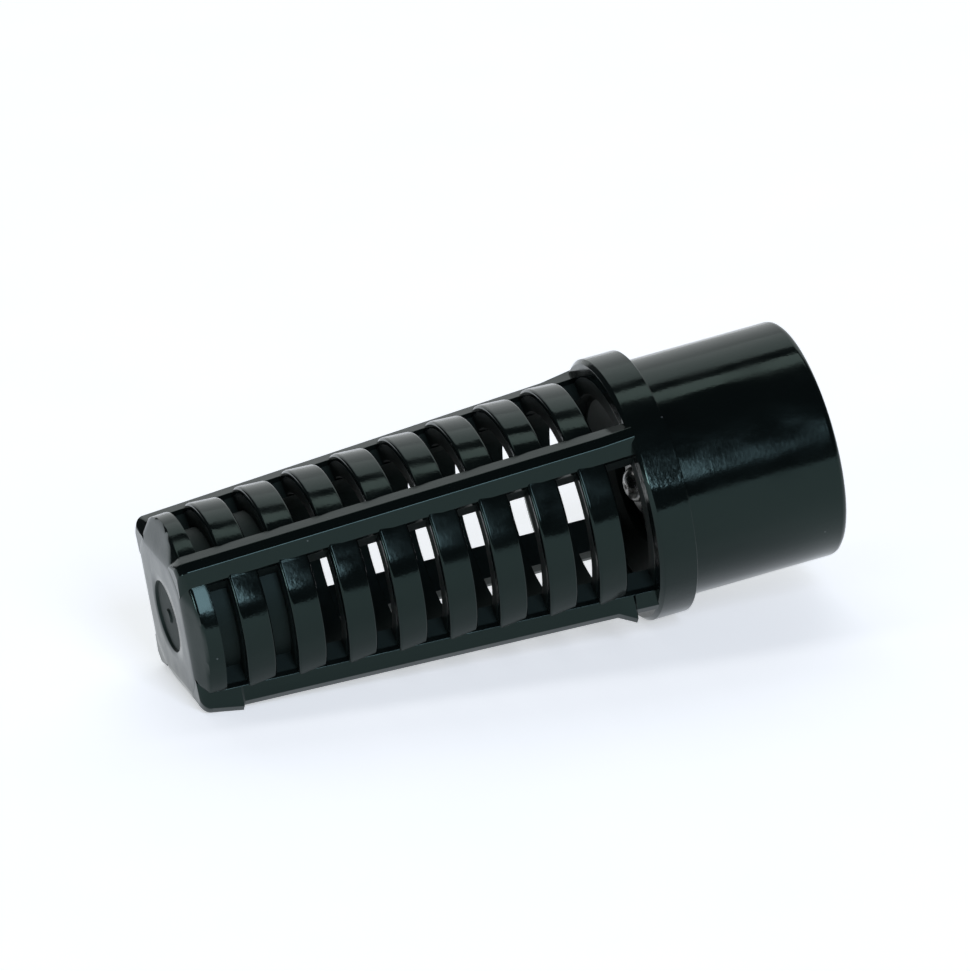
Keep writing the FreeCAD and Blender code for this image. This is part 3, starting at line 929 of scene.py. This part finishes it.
def body_shell():
    """The pipe end with its spigot, seat web, chamber and socket."""
    groove_back, groove_front = (MOUTH - depth for depth in SEAL_GROOVE_DEPTHS)
    ring_front, ring_back = RETAINER_GROOVE_X
    bead_front, bead_top, bead_back = SNAP_BEAD_X
    seat = WEB_BACK + SEAT_LIP_HEIGHT
    body = turned(
        "pipe_end_shell",
        [
            (MOUTH, PIPE_END_R, MOUTH_ROUND),
            (MOUTH, SOCKET_R + MOUTH_CHAMFER, 0.12),
            (MOUTH - MOUTH_CHAMFER, SOCKET_R, 0.12),
            (groove_back, SOCKET_R, 0.06),
            (groove_back, SEAL_GROOVE_R, 0),
            (groove_front, SEAL_GROOVE_R, 0),
            (groove_front, SOCKET_R, 0.06),
            (PIPE_STOP, SOCKET_R, 0.06),
            (PIPE_STOP, GUIDE_R, 0.06),
            (ring_back, GUIDE_R, 0),
            (ring_back, RETAINER_GROOVE_R, 0),
            (ring_front, RETAINER_GROOVE_R, 0),
            (ring_front, GUIDE_R, 0),
            (GUIDE_SHOULDER, GUIDE_R, 0),
            (GUIDE_SHOULDER, CHAMBER_R, 0),
            (WEB_BACK, CHAMBER_R, 0.2),
            (WEB_BACK, SEAT_LIP_R + SEAT_LIP_HEIGHT, 0.1),
            (seat, SEAT_LIP_R, 0.1),
            (seat, ORIFICE_R, 0.1),
            (WEB_FRONT, ORIFICE_R, 0.1),
            (SPIGOT_FRONT, SPIGOT_BORE_R, 0.08),
            (SPIGOT_FRONT, SPIGOT_R, 0.15),
            (bead_front, SPIGOT_R, 0),
            (bead_top, SNAP_BEAD_R, 0),
            (bead_back, SPIGOT_R, 0),
            (0, SPIGOT_R, 0),
            (0, PIPE_END_R, 0),
        ],
    )
    paint(settle(body), BODY_BLACK)
    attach(body, "housing")
    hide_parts("valve_body")
    return body


# ---- spring ---------------------------------------------------------------------------------------------


def closing_spring():
    """The conical wire spring, made at one fixed length; in the real valve it shortens towards the guide as
    the valve lifts.
    """
    start = spring_low.x / MM + WIRE_R
    length = (spring_high.x - spring_low.x) / MM - 2 * WIRE_R
    values = {
        "Turns": COIL_TURNS,
        "Start Radius": COIL_START_R * MM,
        "End Radius": COIL_END_R * MM,
        "Start": start * MM,
        "Length": length * MM,
        "Wire Radius": WIRE_R * MM,
    }
    coil = grown("closing_spring", coil_tree(STAINLESS), values)
    coil.data.shade_smooth()
    paint(coil, STAINLESS)
    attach(coil, "housing")
    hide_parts("valve_spring")
    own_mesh(coil)
    return coil


# ---- stage, light and camera ----------------------------------------------------------------------------

FOOT_DROP = 8.73
FLOOR_FOOT = (NOSE + FOOT_LENGTH, -FOOT_DROP)
FLOOR_COLLAR = (COLLAR_FRONT + COLLAR_BEVEL, -COLLAR_R)
TABLE_REACH = 1500.0
TABLE_GLOW = 0.56


def floor_line():
    """The slope of the surface that the valve lies on, and its height under the origin."""
    slope = (FLOOR_COLLAR[1] - FLOOR_FOOT[1]) / (FLOOR_COLLAR[0] - FLOOR_FOOT[0])
    return slope, FLOOR_COLLAR[1] - slope * FLOOR_COLLAR[0]


def white_table():
    """A broad pale sheet that touches the two feet and the collar's lowest line."""
    slope, height = floor_line()
    plan = [(a * TABLE_REACH, b * TABLE_REACH) for a, b in ((-1, -1), (1, -1), (1, 1), (-1, 1))]
    corners = [(x, y, height + slope * x) for x, y in plan]
    table = solid("table", corners, [(0, 1, 2, 3)])
    material, tree, shader, where = new_material("white sheet", Roughness=0.75, Emission_Strength=TABLE_GLOW)
    shader.inputs["Specular IOR Level"].default_value = 0.2
    tone = noise_node(tree, where, 60.0, 3.0)
    sheet = mixed_colour(tree, tone, (0.90, 0.92, 0.94), (0.93, 0.945, 0.96))
    tree.links.new(sheet, shader.inputs["Base Color"])
    tree.links.new(sheet, shader.inputs["Emission Color"])
    paint(table, material)
    return table


ROOM_GLOW = 0.07
ROOM_COLOUR = (0.85, 0.93, 1.0, 1)
PALE_WHITE = (0.96, 0.99, 1.0)

# Name, place and aim in metres, width and height, brightness, colour.
PANELS = (
    ("backdrop", (0.6, 0.8, 0.26), (0.6, 0.0, 0.26), (1.7, 0.6), 0.8, PALE_WHITE),
    ("backdrop_top", (0.6, 0.8, 0.99), (0.6, 0.0, 0.99), (1.7, 0.86), 1.15, PALE_WHITE),
    ("overhead_strip", (-0.02, 0.17, 0.8), (-0.018, 0, 0), (1.2, 0.17), 1.7, (1.0, 1.0, 1.0)),
    ("left_window", (-0.9, -0.36, 0.22), (-0.018, 0, 0), (0.22, 0.26), 14.0, (0.8, 0.9, 1.0)),
    ("front_glow", (0.085, -1.0, 0.66), (0.085, 0.0, 0.66), (0.36, 0.76), 9.0, (0.72, 0.8, 1.0)),
)


def panel(name, place, aim, width, height, glow, colour):
    """A soft rectangular light of a given brightness, which the camera does not see itself."""
    light = bpy.data.lights.new(name, "AREA")
    light.shape = "RECTANGLE"
    light.size = width
    light.size_y = height
    light.energy = glow * math.pi * width * height
    light.color = colour
    lamp = bpy.data.objects.new(name, light)
    bpy.context.scene.collection.objects.link(lamp)
    way = Vector(aim) - Vector(place)
    lamp.matrix_world = Matrix.Translation(place) @ way.to_track_quat("-Z", "Y").to_matrix().to_4x4()
    lamp.visible_camera = False
    return lamp


def studio():
    """A pale backdrop behind, a strip overhead, a window and a cool panel in front, in a dim room."""
    for name, place, aim, size, glow, colour in PANELS:
        panel(name, place, aim, *size, glow, colour)
    world = bpy.data.worlds.new("studio")
    bpy.context.scene.world = world
    world.use_nodes = True
    tree = world.node_tree
    tree.nodes.clear()
    link = tree.links.new
    seen = add(tree, "ShaderNodeBackground")
    seen.inputs["Color"].default_value = (1, 1, 1, 1)
    seen.inputs["Strength"].default_value = 1.0
    felt = add(tree, "ShaderNodeBackground")
    felt.inputs["Color"].default_value = ROOM_COLOUR
    felt.inputs["Strength"].default_value = ROOM_GLOW
    path = add(tree, "ShaderNodeLightPath")
    choose = add(tree, "ShaderNodeMixShader")
    link(path.outputs["Is Camera Ray"], choose.inputs[0])
    link(felt.outputs[0], choose.inputs[1])
    link(seen.outputs[0], choose.inputs[2])
    out = add(tree, "ShaderNodeOutputWorld")
    link(choose.outputs[0], out.inputs[0])
    bpy.context.scene.view_settings.view_transform = "Standard"


VIEW_YAW = 13.8
VIEW_RISE = 23.0
VIEW_SLOPE = 15.7
VIEW_DISTANCE = 850.0
VIEW_MIDDLE_X = -18.22
VIEW_LIFT = 4.3
VIEW_ACROSS = 0.3
VIEW_PICTURE_WIDTH = 99.2
VIEW_REACH = 20


def product_camera():
    """A long-lens camera above and towards the nose, rolled so that the axis climbs to the right."""
    yaw, rise, slope = (math.radians(a) for a in (VIEW_YAW, VIEW_RISE, VIEW_SLOPE))
    way = Vector((-math.sin(yaw), -math.cos(yaw) * math.cos(rise), math.cos(yaw) * math.sin(rise)))
    along = Vector((1, 0, 0)) - way * way.x
    along.normalize()
    above = way.cross(along)
    right = along * math.cos(slope) - above * math.sin(slope)
    up = along * math.sin(slope) + above * math.cos(slope)
    target = Vector((VIEW_MIDDLE_X, 0, 0)) + up * VIEW_LIFT + right * VIEW_ACROSS
    data = bpy.data.cameras.new("camera")
    camera = bpy.data.objects.new("camera", data)
    bpy.context.scene.collection.objects.link(camera)
    turn = Matrix((right, up, way)).transposed().to_4x4()
    camera.matrix_world = Matrix.Translation((target + way * VIEW_DISTANCE) * MM) @ turn
    data.lens = data.sensor_width * VIEW_DISTANCE / VIEW_PICTURE_WIDTH
    data.clip_end = VIEW_REACH
    bpy.context.scene.camera = camera
    return camera


# ---- the scene ------------------------------------------------------------------------------------------


def dress_cad_nodes():
    """Materials for the inner pieces whose shape is already right."""
    finishes = {
        "pipe_seal": RUBBER,
        "poppet": ACETAL,
        "poppet_seal": RUBBER,
        "seal_washer": STAINLESS,
        "seal_screw": STAINLESS,
        "spring_guide": CHARCOAL,
        "retaining_ring": STAINLESS,
    }
    for node, material in finishes.items():
        paint(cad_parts[node], material)


product_camera()
strainer_shell()
body_shell()
closing_spring()
dress_cad_nodes()
white_table()
studio()
